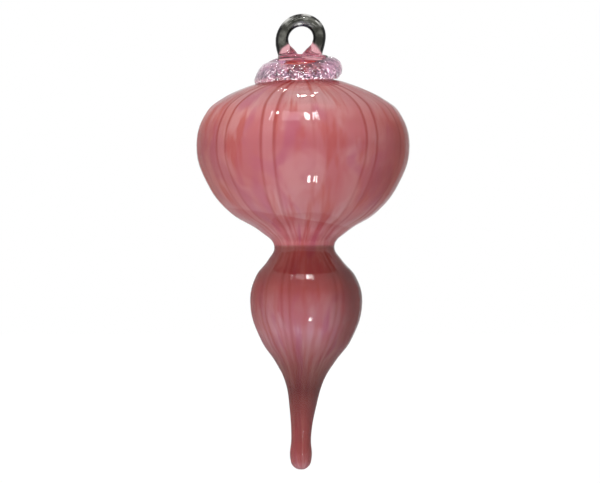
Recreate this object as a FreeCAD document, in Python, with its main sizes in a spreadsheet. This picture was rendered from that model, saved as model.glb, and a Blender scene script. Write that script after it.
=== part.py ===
import FreeCAD, Part
import math
import os
import Sketcher
from FreeCAD import Placement, Rotation, Vector

# A hand-blown glass teardrop ornament that hangs by a clear glass eye.
# Millimetres, +Z up. The origin is the top of the hole in the eye, where a hook or a thread bears.
# The front looks along -Y.

# Every size that can be set by itself. Each span runs down from the station above it.
SIZES = {
    "neck_radius": 9.8,
    "mouth_radius": 6.6,
    "neck_height": 5.6,
    "throat_span": 0.9,
    "cone_radius": 22.6,
    "cone_span": 4.9,
    "shoulder_radius": 32.4,
    "shoulder_span": 4.7,
    "crown_radius": 37.5,
    "crown_span": 4.7,
    "bulb_radius": 41.6,
    "bulb_span": 13.25,
    "flank_radius": 37.3,
    "flank_span": 14.85,
    "under_radius": 28.8,
    "under_span": 10.9,
    "waist_top_radius": 16.7,
    "waist_top_span": 7.8,
    "waist_radius": 11.75,
    "waist_span": 5.45,
    "waist_foot_radius": 14.4,
    "waist_foot_span": 5.45,
    "small_top_radius": 19.4,
    "small_top_span": 6.25,
    "small_bulb_radius": 21.9,
    "small_bulb_span": 10.15,
    "small_flank_radius": 17.6,
    "small_flank_span": 14.8,
    "taper_radius": 11.6,
    "taper_span": 8.6,
    "tail_radius": 7.7,
    "tail_span": 7.0,
    "tail_middle_radius": 5.15,
    "tail_middle_span": 10.9,
    "tail_end_radius": 3.86,
    "tail_end_span": 11.7,
    "tip_radius": 4.14,
    "tip_span": 8.2,
    "bulb_wall": 2.0,
    "waist_wall": 2.6,
    "small_bulb_wall": 2.4,
    "cavity_end_radius": 3.8,
    "slope_share": 0.7,
    "rib_count": 12,
    "rib_width_angle": 7.0,
    "rib_turn": 10.0,
    "rib_height": 0.6,
    "rib_root": 0.8,
    "rib_clearance": 0.7,
    "eye_width": 9.6,
    "eye_height": 11.1,
    "rod_radius": 2.52,
    "knee_radius": 2.8,
    "knee_out": 6.4,
    "knee_drop": 8.4,
    "knee_lean": 22.0,
    "foot_radius": 4.3,
    "foot_out": 4.4,
    "button_height": 2.35,
    "button_edge": 1.0,
    "foot_fillet": 0.35,
    "plug_depth": 2.0,
    "plug_clearance": 0.1,
    "plug_dome": 1.0,
    "ring_radius": 13.0,
    "rope_radius": 4.3,
    "rope_groove": 0.5,
    "rope_ridges": 12,
    "rope_steps": 16,
    "ridges_per_step": 2,
    "ring_drop": 4.0,
    "ring_shift": 1.6,
    "ring_side_tilt": 3.0,
    "ring_front_tilt": 6.0,
}

doc = FreeCAD.newDocument("teardrop_ornament")
sheet = doc.addObject("Spreadsheet::Sheet", "Sizes")
for row, (alias, size) in enumerate(SIZES.items(), start=1):
    sheet.set(f"A{row}", alias)
    sheet.set(f"B{row}", str(size))
    sheet.setAlias(f"B{row}", alias)
doc.recompute()


def size(name):
    """The present value of one cell."""
    return float(sheet.get(name))


def cell(name):
    """How an expression names one cell."""
    return f"Sizes.{name}"


def new_body(name):
    body = doc.addObject("PartDesign::Body", name)
    body.Label = name
    return body


def new_sketch(body, name, role):
    """A sketch on one of the body's own origin planes."""
    sketch = body.newObject("Sketcher::SketchObject", name)
    plane = next(f for f in body.Origin.OriginFeatures if f.Role == role)
    sketch.AttachmentSupport = [(plane, "")]
    sketch.MapMode = "FlatFace"
    return sketch


def pin(sketch, geometry, end, x, y):
    """Holds a point at the two expressions x and y, measured from the sketch's origin."""
    for kind, text in (("DistanceX", x), ("DistanceY", y)):
        here = sketch.getPoint(geometry, end)
        value = here.x if kind == "DistanceX" else here.y
        index = sketch.addConstraint(Sketcher.Constraint(kind, -1, 1, geometry, end, value))
        sketch.setExpression(f"Constraints[{index}]", text)


def line(sketch, start, end):
    return sketch.addGeometry(Part.LineSegment(Vector(*start, 0), Vector(*end, 0)), False)


def smooth_curve(sketch, points):
    """One smooth curve through the points, each given as (x, y, x expression, y expression)."""
    curve = Part.BSplineCurve()
    curve.interpolate([Vector(x, y, 0) for x, y, _, _ in points])
    index = sketch.addGeometry(curve, False)
    sketch.exposeInternalGeometry(index)
    first_knot = index + 1 + curve.NbPoles
    for place, (_, _, x_text, y_text) in enumerate(points):
        pin(sketch, first_knot + place, 1, x_text, y_text)
    return index


def round_end(sketch, radius, height, height_text):
    """A quarter circle about the axis that closes the foot of a profile. Its start lies on the axis."""
    circle = Part.Circle(Vector(0, height, 0), Vector(0, 0, 1), radius)
    index = sketch.addGeometry(Part.ArcOfCircle(circle, -math.pi / 2, 0), False)
    pin(sketch, index, 3, "0", height_text)
    sketch.addConstraint(Sketcher.Constraint("PointOnObject", index, 1, -2))
    return index


# The stations of the blown outline from the shoulder down to the tip, and which way the glass faces there.
STATIONS = {
    "cone": "up",
    "shoulder": "up and out",
    "crown": "up and out",
    "bulb": "out",
    "flank": "down and out",
    "under": "down and out",
    "waist_top": "down and out",
    "waist": "out",
    "waist_foot": "up and out",
    "small_top": "up and out",
    "small_bulb": "out",
    "small_flank": "down and out",
    "taper": "down and out",
    "tail": "out",
    "tail_middle": "out",
    "tail_end": "out",
    "tip": "out",
}


def drop_to(name):
    """How far a station lies under the rim, as a value and as an expression."""
    names = list(STATIONS)
    spans = ["neck_height"] + [f"{n}_span" for n in names[: names.index(name) + 1]]
    return sum(size(span) for span in spans), " + ".join(cell(span) for span in spans)


def surface_point(name, depth=None, way=-1):
    """A station's point on the outer surface, moved by the cell depth: -1 into the glass, 1 out of it."""
    radius, radius_text = size(f"{name}_radius"), cell(f"{name}_radius")
    drop, drop_text = drop_to(name)
    height, height_text = -drop, f"-({drop_text})"
    if depth:
        facing = STATIONS[name]
        slanted = " and " in facing
        move = way * size(depth) * (size("slope_share") if slanted else 1)
        text = f"{way} * {cell(depth)}" + (f" * {cell('slope_share')}" if slanted else "")
        if "out" in facing:
            radius, radius_text = radius + move, f"{radius_text} + {text}"
        if "up" in facing:
            height, height_text = height + move, f"{height_text} + {text}"
        if "down" in facing:
            height, height_text = height - move, f"{height_text} - {text}"
    return radius, height, radius_text, height_text


def build_blown_body():
    """One hollow bubble of coloured glass: neck, large bulb, waist, small bulb, solid tail, ribs."""
    body = new_body("blown_body")
    body.setExpression("Placement.Base.z", "-(Sizes.eye_height + Sizes.button_height)")
    body.Placement.Rotation = Rotation(Vector(0, 0, 1), size("rib_turn"))
    body.setExpression("Placement.Rotation.Angle", cell("rib_turn"))

    wall = new_sketch(body, "wall_profile", "XZ_Plane")
    names = list(STATIONS)
    walls = dict.fromkeys(names, "bulb_wall")
    walls["waist"] = "waist_wall"
    walls.update(dict.fromkeys(("small_top", "small_bulb", "small_flank", "taper"), "small_bulb_wall"))
    outer = smooth_curve(wall, [surface_point(name) for name in names])

    tail_drop, tail_text = drop_to("tail")
    cavity_end = (size("cavity_end_radius"), -tail_drop, cell("cavity_end_radius"), f"-({tail_text})")
    lined = names[: names.index("tail")]
    cavity = [surface_point(name, walls[name]) for name in lined] + [cavity_end]
    inner = smooth_curve(wall, cavity)

    neck, mouth = size("neck_radius"), size("mouth_radius")
    root, throat = -size("neck_height"), -size("neck_height") - size("throat_span")
    cone = surface_point("cone")
    rim_line = line(wall, (mouth, 0), (neck, 0))
    neck_line = line(wall, (neck, 0), (neck, root))
    cone_line = line(wall, (neck, root), cone[:2])
    throat_line = line(wall, cavity[0][:2], (mouth, throat))
    mouth_line = line(wall, (mouth, throat), (mouth, 0))
    tip_drop, tip_text = drop_to("tip")
    tip = round_end(wall, size("tip_radius"), -tip_drop, f"-({tip_text})")
    dome = round_end(wall, size("cavity_end_radius"), -tail_drop, f"-({tail_text})")
    axis = line(wall, (0, -tip_drop - size("tip_radius")), (0, -tail_drop - size("cavity_end_radius")))

    pin(wall, rim_line, 1, cell("mouth_radius"), "0")
    pin(wall, neck_line, 1, cell("neck_radius"), "0")
    pin(wall, cone_line, 1, cell("neck_radius"), "-Sizes.neck_height")
    pin(wall, mouth_line, 1, cell("mouth_radius"), "-(Sizes.neck_height + Sizes.throat_span)")
    for first, first_end, second, second_end in (
        (rim_line, 2, neck_line, 1),
        (neck_line, 2, cone_line, 1),
        (cone_line, 2, outer, 1),
        (outer, 2, tip, 2),
        (tip, 1, axis, 1),
        (axis, 2, dome, 1),
        (dome, 2, inner, 2),
        (inner, 1, throat_line, 1),
        (throat_line, 2, mouth_line, 1),
        (mouth_line, 2, rim_line, 1),
    ):
        wall.addConstraint(Sketcher.Constraint("Coincident", first, first_end, second, second_end))

    bubble = body.newObject("PartDesign::Revolution", "bubble")
    bubble.Profile = wall
    bubble.ReferenceAxis = (wall, ["V_Axis"])
    bubble.Angle = 360
    doc.recompute()

    ribs = new_sketch(body, "rib_profile", "XZ_Plane")
    ribbed = names[: names.index("tail_middle") + 1]
    start = "Sizes.ring_radius + Sizes.rope_radius + Sizes.ring_shift + Sizes.rib_clearance"
    start_radius = sum(size(n) for n in ("ring_radius", "rope_radius", "ring_shift", "rib_clearance"))
    slope = size("cone_span") / (size("cone_radius") - size("neck_radius"))
    slope_text = "Sizes.cone_span / (Sizes.cone_radius - Sizes.neck_radius)"
    start_drop = size("neck_height") + (start_radius - size("neck_radius")) * slope
    start_drop_text = f"Sizes.neck_height + ({start} - Sizes.neck_radius) * {slope_text}"
    root_depth = size("rib_root")
    high = [(start_radius, -start_drop - root_depth / 2, start, f"-({start_drop_text} + Sizes.rib_root / 2)")]
    low = [(start_radius, -start_drop - root_depth, start, f"-({start_drop_text} + Sizes.rib_root)")]
    high += [surface_point(name, "rib_height", 1) for name in ribbed[:-1]]
    low += [surface_point(name, "rib_root") for name in ribbed]
    end = surface_point(ribbed[-1])
    high.append((end[0] - root_depth / 2, end[1], f"{end[2]} - Sizes.rib_root / 2", end[3]))
    crest = smooth_curve(ribs, high)
    foot = smooth_curve(ribs, low)
    top = line(ribs, low[0][:2], high[0][:2])
    bottom = line(ribs, high[-1][:2], low[-1][:2])
    for first, first_end, second, second_end in (
        (top, 1, foot, 1),
        (top, 2, crest, 1),
        (bottom, 1, crest, 2),
        (bottom, 2, foot, 2),
    ):
        ribs.addConstraint(Sketcher.Constraint("Coincident", first, first_end, second, second_end))

    rib = body.newObject("PartDesign::Revolution", "rib")
    rib.Profile = ribs
    rib.ReferenceAxis = (ribs, ["V_Axis"])
    rib.Midplane = True
    rib.setExpression("Angle", cell("rib_width_angle"))
    doc.recompute()

    round_ribs = body.newObject("PartDesign::PolarPattern", "ribs_round")
    round_ribs.Originals = [rib]
    round_ribs.Axis = (ribs, ["V_Axis"])
    round_ribs.Angle = 360
    round_ribs.setExpression("Occurrences", cell("rib_count"))
    body.Tip = round_ribs
    doc.recompute()
    return body


def build_hanging_loop():
    """A clear glass rod bent into an eye, on the button that seals the neck's mouth."""
    body = new_body("hanging_loop")
    middle = "-Sizes.eye_width / 2"
    bend = "(Sizes.eye_width / 2 + Sizes.rod_radius)"
    foot_height = "-(Sizes.eye_height + Sizes.button_height / 2)"

    # Each ring of the rod: its turn about the eye, how far out and how high it lies, and its radius.
    rings = [("-Sizes.knee_lean", "Sizes.knee_out", "-Sizes.knee_drop", "knee_radius")]
    for turn in range(0, 181, 45):
        out, height = f"{bend} * cos({turn})", f"{middle} + {bend} * sin({turn})"
        rings.append((str(turn), out, height, "rod_radius"))
    rings.append(("180 + Sizes.knee_lean", "-Sizes.knee_out", "-Sizes.knee_drop", "knee_radius"))
    rings.insert(0, ("0", "Sizes.foot_out", foot_height, "foot_radius"))
    rings.append(("180", "-Sizes.foot_out", foot_height, "foot_radius"))

    sections = []
    for place, (turn, out, height, radius) in enumerate(rings):
        ring = new_sketch(body, f"rod_ring_{place}", "XY_Plane")
        ring.AttachmentOffset = Placement(Vector(0, 0, 0), Rotation(Vector(0, 1, 0), 1))
        ring.setExpression("AttachmentOffset.Rotation.Angle", f"-({turn})")
        ring.setExpression("AttachmentOffset.Base.x", out)
        ring.setExpression("AttachmentOffset.Base.z", height)
        ring.addGeometry(Part.Circle(Vector(0, 0, 0), Vector(0, 0, 1), size(radius)), False)
        ring.addConstraint(Sketcher.Constraint("Coincident", 0, 3, -1, 1))
        index = ring.addConstraint(Sketcher.Constraint("Radius", 0, size(radius)))
        ring.setExpression(f"Constraints[{index}]", cell(radius))
        sections.append(ring)
    doc.recompute()

    rod = body.newObject("PartDesign::AdditiveLoft", "rod")
    rod.Profile = sections[0]
    rod.Sections = sections[1:]
    doc.recompute()

    half = new_sketch(body, "button_profile", "XZ_Plane")
    neck, edge = size("neck_radius"), size("button_edge")
    plug = size("mouth_radius") - size("plug_clearance")
    top, rim = -size("eye_height"), -size("eye_height") - size("button_height")
    foot = rim - size("plug_depth")
    shoulder = foot + size("plug_dome")
    dome_radius = (plug**2 + size("plug_dome") ** 2) / (2 * size("plug_dome"))
    flat_line = line(half, (0, top), (neck - edge, top))
    edge_circle = Part.Circle(Vector(neck - edge, top - edge, 0), Vector(0, 0, 1), edge)
    edge_arc = half.addGeometry(Part.ArcOfCircle(edge_circle, 0, math.pi / 2), False)
    side_line = line(half, (neck, top - edge), (neck, rim))
    rim_line = line(half, (neck, rim), (plug, rim))
    plug_line = line(half, (plug, rim), (plug, shoulder))
    dome_circle = Part.Circle(Vector(0, foot + dome_radius, 0), Vector(0, 0, 1), dome_radius)
    dome_end = math.asin(plug / dome_radius) - math.pi / 2
    dome_arc = half.addGeometry(Part.ArcOfCircle(dome_circle, -math.pi / 2, dome_end), False)
    axis_line = line(half, (0, foot), (0, top))

    rim_text = "-(Sizes.eye_height + Sizes.button_height)"
    plug_text = "Sizes.mouth_radius - Sizes.plug_clearance"
    pin(half, flat_line, 1, "0", "-Sizes.eye_height")
    pin(half, flat_line, 2, "Sizes.neck_radius - Sizes.button_edge", "-Sizes.eye_height")
    pin(half, rim_line, 1, "Sizes.neck_radius", rim_text)
    pin(half, plug_line, 1, plug_text, rim_text)
    pin(half, plug_line, 2, plug_text, f"{rim_text} - Sizes.plug_depth + Sizes.plug_dome")
    pin(half, axis_line, 1, "0", f"{rim_text} - Sizes.plug_depth")
    pin(half, edge_arc, 3, "Sizes.neck_radius - Sizes.button_edge", "-(Sizes.eye_height + Sizes.button_edge)")
    for first, first_end, second, second_end in (
        (flat_line, 2, edge_arc, 2),
        (edge_arc, 1, side_line, 1),
        (side_line, 2, rim_line, 1),
        (rim_line, 2, plug_line, 1),
        (plug_line, 2, dome_arc, 2),
        (dome_arc, 1, axis_line, 1),
        (axis_line, 2, flat_line, 1),
    ):
        half.addConstraint(Sketcher.Constraint("Coincident", first, first_end, second, second_end))
    half.addConstraint(Sketcher.Constraint("Horizontal", edge_arc, 3, edge_arc, 1))
    half.addConstraint(Sketcher.Constraint("PointOnObject", dome_arc, 3, -2))

    button = body.newObject("PartDesign::Revolution", "button")
    button.Profile = half
    button.ReferenceAxis = (half, ["V_Axis"])
    button.Angle = 360
    doc.recompute()

    # The hot rod melts into the button: its two footprints on the button's top get a small fillet.
    level = 1e-4
    footprints = [
        f"Edge{number}"
        for number, edge in enumerate(button.Shape.Edges, start=1)
        if edge.BoundBox.ZLength < level and abs(edge.BoundBox.ZMax - top) < level and edge.Length < math.pi * neck
    ]
    melted = body.newObject("PartDesign::Fillet", "melted_feet")
    melted.Base = (button, footprints)
    melted.setExpression("Radius", cell("foot_fillet"))
    doc.recompute()
    return body


def build_neck_collar():
    """A clear ribbed rope of glass wound round the neck's root while hot, so it lies tilted and off centre."""
    rope = new_body("collar_rope")
    ridges = int(size("rope_ridges"))
    sections = []
    for place, share in enumerate((0, 0.5, 1)):
        star = new_sketch(rope, f"rope_star_{place}", "XZ_Plane")
        star.AttachmentOffset = Placement(Vector(0, 0, 0), Rotation(Vector(0, 1, 0), 1))
        star.setExpression("AttachmentOffset.Rotation.Angle", f"{share} * 360 / Sizes.rope_steps")
        twist = f"{share} * Sizes.ridges_per_step * 360 / Sizes.rope_ridges"
        twist_value = share * size("ridges_per_step") * 360 / ridges
        corners = []
        for corner in range(2 * ridges):
            turn = math.radians(corner * 180 / ridges + twist_value)
            far = size("rope_radius") - (size("rope_groove") if corner % 2 else 0)
            corners.append((size("ring_radius") + far * math.cos(turn), far * math.sin(turn)))
        sides = [line(star, corners[n], corners[(n + 1) % len(corners)]) for n in range(len(corners))]
        for corner, side in enumerate(sides):
            star.addConstraint(Sketcher.Constraint("Coincident", sides[corner - 1], 2, side, 1))
            far = "(Sizes.rope_radius - Sizes.rope_groove)" if corner % 2 else "Sizes.rope_radius"
            turn = f"({corner} * 180 / Sizes.rope_ridges + {twist})"
            pin(star, side, 1, f"Sizes.ring_radius + {far} * cos({turn})", f"{far} * sin({turn})")
        sections.append(star)
    doc.recompute()

    step = rope.newObject("PartDesign::AdditiveLoft", "rope_step")
    step.Profile = sections[0]
    step.Sections = sections[1:]
    doc.recompute()

    whole = rope.newObject("PartDesign::PolarPattern", "rope_round")
    whole.Originals = [step]
    whole.Axis = (sections[0], ["V_Axis"])
    whole.Angle = 360
    whole.setExpression("Occurrences", cell("rope_steps"))
    rope.Tip = whole
    doc.recompute()

    lie = Rotation(Vector(1, 0, 0), size("ring_front_tilt")) * Rotation(Vector(0, 1, 0), -size("ring_side_tilt"))
    rope.Placement = Placement(Vector(0, 0, 0), lie)
    rope.setExpression("Placement.Base.x", "-Sizes.ring_shift")
    rope.setExpression("Placement.Base.z", "-(Sizes.eye_height + Sizes.button_height + Sizes.ring_drop)")

    # What the rope was pressed on while hot: the button and neck, and the cone of the shoulder.
    root = "-(Sizes.eye_height + Sizes.button_height + Sizes.neck_height)"
    neck = doc.addObject("Part::Cylinder", "neck_seat")
    neck.setExpression("Radius", "Sizes.neck_radius")
    neck.setExpression("Height", "Sizes.neck_height + Sizes.button_height + Sizes.rope_radius")
    neck.setExpression("Placement.Base.z", root)
    cone = doc.addObject("Part::Cone", "shoulder_seat")
    cone.setExpression("Radius1", "Sizes.cone_radius")
    cone.setExpression("Radius2", "Sizes.neck_radius")
    cone.setExpression("Height", "Sizes.cone_span")
    cone.setExpression("Placement.Base.z", f"{root} - Sizes.cone_span")
    seat = doc.addObject("Part::Fuse", "seat")
    seat.Base = neck
    seat.Tool = cone
    collar = doc.addObject("Part::Cut", "neck_collar")
    collar.Label = "neck_collar"
    collar.Base = rope
    collar.Tool = seat
    doc.recompute()
    return collar


sub_parts = [build_blown_body(), build_neck_collar(), build_hanging_loop()]
doc.recompute()

for thing in doc.Objects:
    if any(word in thing.State for word in ("Invalid", "Error")):
        raise RuntimeError(f"{thing.Label}: {thing.State}")
os.makedirs("parts", exist_ok=True)
for sub_part in sub_parts:
    shape = sub_part.Shape
    if shape.isNull() or not shape.isValid():
        raise RuntimeError(f"{sub_part.Label} has no valid shape")
    shape.exportStep(f"parts/{sub_part.Label}.step")
    box = shape.BoundBox
    print(sub_part.Label, f"{len(shape.Solids)} solid, {shape.Volume:.1f} mm3, z {box.ZMin:.2f} to {box.ZMax:.2f}")
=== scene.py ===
# %% [markdown]
# # A hand-blown glass teardrop ornament
# The real thing is a bubble of milky pink glass under a clear skin. The maker blows it into a mould with
# twelve grooves, pinches a waist, draws out the tail, winds a clear rope of glass round the neck and seals
# the mouth with a glass eye on a button. The eye's grey is painted shade.
# The imported model gives the rim of the neck and the tip, and every drop is measured from that rim. This
# lesson gives the looks, piece by piece, with the same few moves that one makes by hand: draw an outline,
# spin it, push it about, and choose the glass.

# %% Load the frame and keep its box
import math

import bpy
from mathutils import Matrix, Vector


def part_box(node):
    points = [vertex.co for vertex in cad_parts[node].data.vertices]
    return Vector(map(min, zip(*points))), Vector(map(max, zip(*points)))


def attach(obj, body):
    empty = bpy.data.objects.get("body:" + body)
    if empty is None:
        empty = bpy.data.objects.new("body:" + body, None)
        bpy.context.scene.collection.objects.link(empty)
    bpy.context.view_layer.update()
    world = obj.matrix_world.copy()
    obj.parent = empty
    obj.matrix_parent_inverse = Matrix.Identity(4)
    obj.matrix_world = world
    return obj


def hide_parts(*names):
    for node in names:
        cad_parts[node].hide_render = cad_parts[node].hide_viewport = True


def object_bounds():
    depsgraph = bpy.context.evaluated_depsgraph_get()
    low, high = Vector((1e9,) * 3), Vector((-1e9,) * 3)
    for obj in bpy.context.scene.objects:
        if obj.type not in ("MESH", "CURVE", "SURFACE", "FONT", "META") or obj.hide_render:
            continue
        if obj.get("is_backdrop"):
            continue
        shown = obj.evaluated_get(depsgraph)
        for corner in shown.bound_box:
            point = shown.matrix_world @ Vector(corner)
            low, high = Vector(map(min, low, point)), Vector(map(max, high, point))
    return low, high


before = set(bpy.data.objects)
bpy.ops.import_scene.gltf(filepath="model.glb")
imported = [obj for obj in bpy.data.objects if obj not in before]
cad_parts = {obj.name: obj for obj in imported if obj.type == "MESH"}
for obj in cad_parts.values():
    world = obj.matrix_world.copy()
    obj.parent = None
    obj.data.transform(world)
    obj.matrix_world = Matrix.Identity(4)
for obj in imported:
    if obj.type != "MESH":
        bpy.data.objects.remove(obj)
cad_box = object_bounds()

MM = 0.001
body_low, body_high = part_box("blown_body")
RIM = body_high.z
TIP = body_low.z
print("rim of the neck at", round(RIM / MM, 2), "mm, tip at", round(TIP / MM, 2), "mm")


# %% [markdown]
# ## Working by hand in code
# Every operator acts on what is selected, so each step first says which piece it works on. These helpers
# do what the hand does at the screen: leave one piece selected, pick some of its vertices by their place,
# apply a modifier, push a part softly aside, and tidy a mesh when its shape is done.

# %% Pick a piece, pick vertices, apply a modifier, finish a mesh
def alone(piece):
    """Leave edit mode, deselect everything, then select this piece and make it active."""
    if bpy.context.mode != "OBJECT":
        bpy.ops.object.mode_set(mode="OBJECT")
    bpy.ops.object.select_all(action="DESELECT")
    piece.select_set(True)
    bpy.context.view_layer.objects.active = piece


def pick(piece, wanted):
    """Enter edit mode with only those vertices selected whose place passes the test."""
    alone(piece)
    bpy.ops.object.mode_set(mode="EDIT")
    bpy.ops.mesh.select_mode(type="VERT")
    bpy.ops.mesh.select_all(action="DESELECT")
    bpy.ops.object.mode_set(mode="OBJECT")
    for vertex in piece.data.vertices:
        vertex.select = wanted(vertex.co)
    bpy.ops.object.mode_set(mode="EDIT")


def add_modifier(piece, kind, **settings):
    """Add a modifier with these settings and apply it at once."""
    alone(piece)
    modifier = piece.modifiers.new(kind.lower(), kind)
    for name, value in settings.items():
        setattr(modifier, name, value)
    bpy.ops.object.modifier_apply(modifier=modifier.name)


def finish_mesh(piece, gap=0.01 * MM):
    """Merge doubles, turn every face outwards and shade it smooth."""
    alone(piece)
    bpy.ops.object.mode_set(mode="EDIT")
    bpy.ops.mesh.select_all(action="SELECT")
    bpy.ops.mesh.remove_doubles(threshold=gap)
    bpy.ops.mesh.normals_make_consistent(inside=False)
    bpy.ops.object.mode_set(mode="OBJECT")
    bpy.ops.object.shade_smooth()
    size = piece.dimensions / MM
    print(piece.name, len(piece.data.polygons), "faces,", [round(side, 1) for side in size], "mm")


CIRCLE_STEPS = 96


def new_cylinder(name, radius, depth, middle):
    """An upright cylinder made at its size and place."""
    bpy.ops.object.select_all(action="DESELECT")
    bpy.ops.mesh.primitive_cylinder_add(
        vertices=CIRCLE_STEPS, radius=radius, depth=depth, location=(0, 0, middle))
    made = bpy.context.object
    made.name = name
    bpy.ops.object.transform_apply(location=True, rotation=True, scale=True)
    return made


def nudge(piece, wanted, move, reach):
    """Push some vertices sideways and let their neighbours follow softly, as far as the reach."""
    pick(piece, wanted)
    bpy.ops.transform.translate(
        value=move, use_proportional_edit=True, proportional_edit_falloff="SMOOTH", proportional_size=reach)
    bpy.ops.object.mode_set(mode="OBJECT")


# %% [markdown]
# ## The blown body
# A glassblower sees one outline that turns round an axis, so the outline is drawn as one Bezier curve with
# automatic handles, made into edges and spun. Its points are the few places where the glass changes
# direction: neck, shoulder, bulb, waist, small bulb, taper, tail and tip.
# The outline runs up the outside from the tip, turns at the rim and comes down again just inside it. The
# thin space between is the clear skin, and the inner side of it carries the milky colour. That is how the
# real piece is cased, and it gives the pale clear edge that a single coloured shell can't give.

# %% The stations of the outline, as radius and drop below the rim in millimetres
OUTSIDE = {
    "tip pole": (0.0, 159.34),
    "tip round": (2.93, 158.13),
    "tip side": (4.14, 155.2),
    "tail end": (3.86, 147.0),
    "tail middle": (5.15, 135.3),
    "tail": (7.7, 124.4),
    "taper": (11.6, 117.4),
    "small flank": (17.6, 108.8),
    "small bulb": (21.9, 94.0),
    "small top": (19.4, 83.85),
    "waist foot": (14.4, 77.6),
    "waist": (11.75, 72.15),
    "waist top": (16.7, 66.7),
    "under": (28.8, 58.9),
    "flank": (37.3, 48.0),
    "bulb": (41.6, 33.15),
    "crown": (37.5, 19.9),
    "shoulder": (32.0, 15.2),
    "cone": (22.8, 10.6),
    "root": (16.5, 8.3),
    "neck foot": (10.1, 5.8),
    "neck": (9.8, 1.2),
}
RIM_TOP = (8.3, 0.0)
INSIDE = {
    "mouth": (6.9, 1.2),
    "throat": (7.6, 6.8),
    "cone": (22.4, 11.8),
    "shoulder": (31.5, 16.0),
    "crown": (36.8, 20.6),
    "bulb": (40.8, 33.15),
    "flank": (36.4, 47.6),
    "under": (27.9, 58.0),
    "waist top": (15.6, 66.3),
    "waist": (11.0, 72.15),
    "waist foot": (13.7, 77.8),
    "small top": (18.75, 83.95),
    "small bulb": (21.1, 94.0),
    "small flank": (16.6, 108.4),
    "taper": (10.6, 116.9),
    "tail": (7.2, 124.3),
    "tail middle": (4.85, 135.3),
    "tail end": (3.63, 147.0),
    "tip side": (3.88, 155.1),
    "tip round": (2.72, 157.85),
    "tip pole": (0.0, 158.98),
}
CURVE_STEPS = 6
TURN_STEPS = 360


# %% Draw the outline and spin it
def draw_outline(name, stations):
    """One smooth curve through the stations, in the XZ plane, made into edges."""
    bpy.ops.object.select_all(action="DESELECT")
    bpy.ops.curve.primitive_bezier_curve_add(location=(0, 0, 0))
    curve = bpy.context.object
    curve.name = name
    spline = curve.data.splines[0]
    spline.bezier_points.add(len(stations) - len(spline.bezier_points))
    for point, (radius, drop) in zip(spline.bezier_points, stations):
        point.co = (radius * MM, 0, RIM - drop * MM)
        point.handle_left_type = point.handle_right_type = "AUTO"
    points = list(spline.bezier_points)
    for pole, beside in ((points[0], points[1]), (points[-1], points[-2])):
        if pole.co.x == 0:
            pole.handle_left_type = pole.handle_right_type = "FREE"
            pole.handle_left = pole.handle_right = pole.co + Vector((beside.co.x / 2, 0, 0))
    spline.resolution_u = CURVE_STEPS
    bpy.ops.object.convert(target="MESH")
    return bpy.context.object


def spin_round(piece, steps):
    """Spin the outline a whole turn about the vertical axis."""
    pick(piece, lambda place: True)
    bpy.ops.mesh.spin(steps=steps, angle=math.tau, center=(0, 0, 0), axis=(0, 0, 1))
    bpy.ops.object.mode_set(mode="OBJECT")


blown_body = draw_outline("blown_body_glass", [*OUTSIDE.values(), RIM_TOP, *INSIDE.values()])
first_inside = CURVE_STEPS * (len(OUTSIDE) + 1)
inner_wall = blown_body.vertex_groups.new(name="inner_wall")
inner_wall.add(range(first_inside, len(blown_body.data.vertices)), 1.0, "REPLACE")
spin_round(blown_body, TURN_STEPS)
finish_mesh(blown_body)

# %% [markdown]
# ## The mould's ribs
# The mould leaves twelve low bands that run down the glass. Each is flat on top with soft edges and sways a
# little on its way down. They are painted as a vertex group, as one paints with a soft brush, and a
# Displace modifier lifts what is painted. They start beside the collar, shrink with the glass where it
# narrows, and leave the inner wall smooth. The relief is low, and the pale bands and thin dark lines that
# one sees from afar are painted highlight and painted shade in the pink layer further down.

# %% Paint the ribs and lift them
RIB_COUNT = 12
RIB_TURN = math.radians(10)
RIB_HALF_WIDTH = 2.6 * MM
RIB_EDGE = 1.3 * MM
RIB_HEIGHT = 0.15 * MM
RIB_SWAY = 0.4 * MM
SWAY_PER_METRE = 95.0
SWAY_PER_RIB = 2.4
RIB_TOP = 9 * MM
RIB_START = 3 * MM
FULL_RADIUS = 34 * MM


def from_rib(place):
    """How far a point lies from the middle of the nearest rib, measured round the glass."""
    pitch = math.tau / RIB_COUNT
    steps = (math.atan2(place.y, place.x) - RIB_TURN) / pitch
    number = round(steps)
    sway = RIB_SWAY * math.sin(place.z * SWAY_PER_METRE + number * SWAY_PER_RIB)
    return abs((steps - number) * pitch * math.hypot(place.x, place.y) + sway)


def soft_step(value, low, high):
    """0 below low, 1 above high and a smooth rise between."""
    share = min(max((value - low) / (high - low), 0), 1)
    return share * share * (3 - 2 * share)


ribs = blown_body.vertex_groups.new(name="ribs")
inside = {v.index for v in blown_body.data.vertices if any(g.group == inner_wall.index for g in v.groups)}
for vertex in blown_body.data.vertices:
    place = vertex.co
    radius = math.hypot(place.x, place.y)
    if vertex.index in inside or radius < MM or place.z > RIM - RIB_TOP:
        continue
    narrow = min(1.0, radius / FULL_RADIUS)
    raised = 1 - soft_step(from_rib(place), (RIB_HALF_WIDTH - RIB_EDGE) * narrow, RIB_HALF_WIDTH * narrow)
    fade = narrow * soft_step(RIM - place.z, RIB_TOP, RIB_TOP + RIB_START)
    if raised * fade > 0:
        ribs.add([vertex.index], raised * fade, "REPLACE")
add_modifier(blown_body, "DISPLACE", vertex_group="ribs", strength=RIB_HEIGHT, mid_level=0.0)
print(RIB_COUNT, "ribs, each", round(2 * RIB_HALF_WIDTH / MM, 1), "mm wide on the large bulb")

# %% [markdown]
# ## The hand in it
# Nothing blown by hand is quite true to its axis. Here the small bulb hangs a little to the right and the
# tip comes back to the left. Proportional editing moves one ring and lets the glass around it follow.

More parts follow.
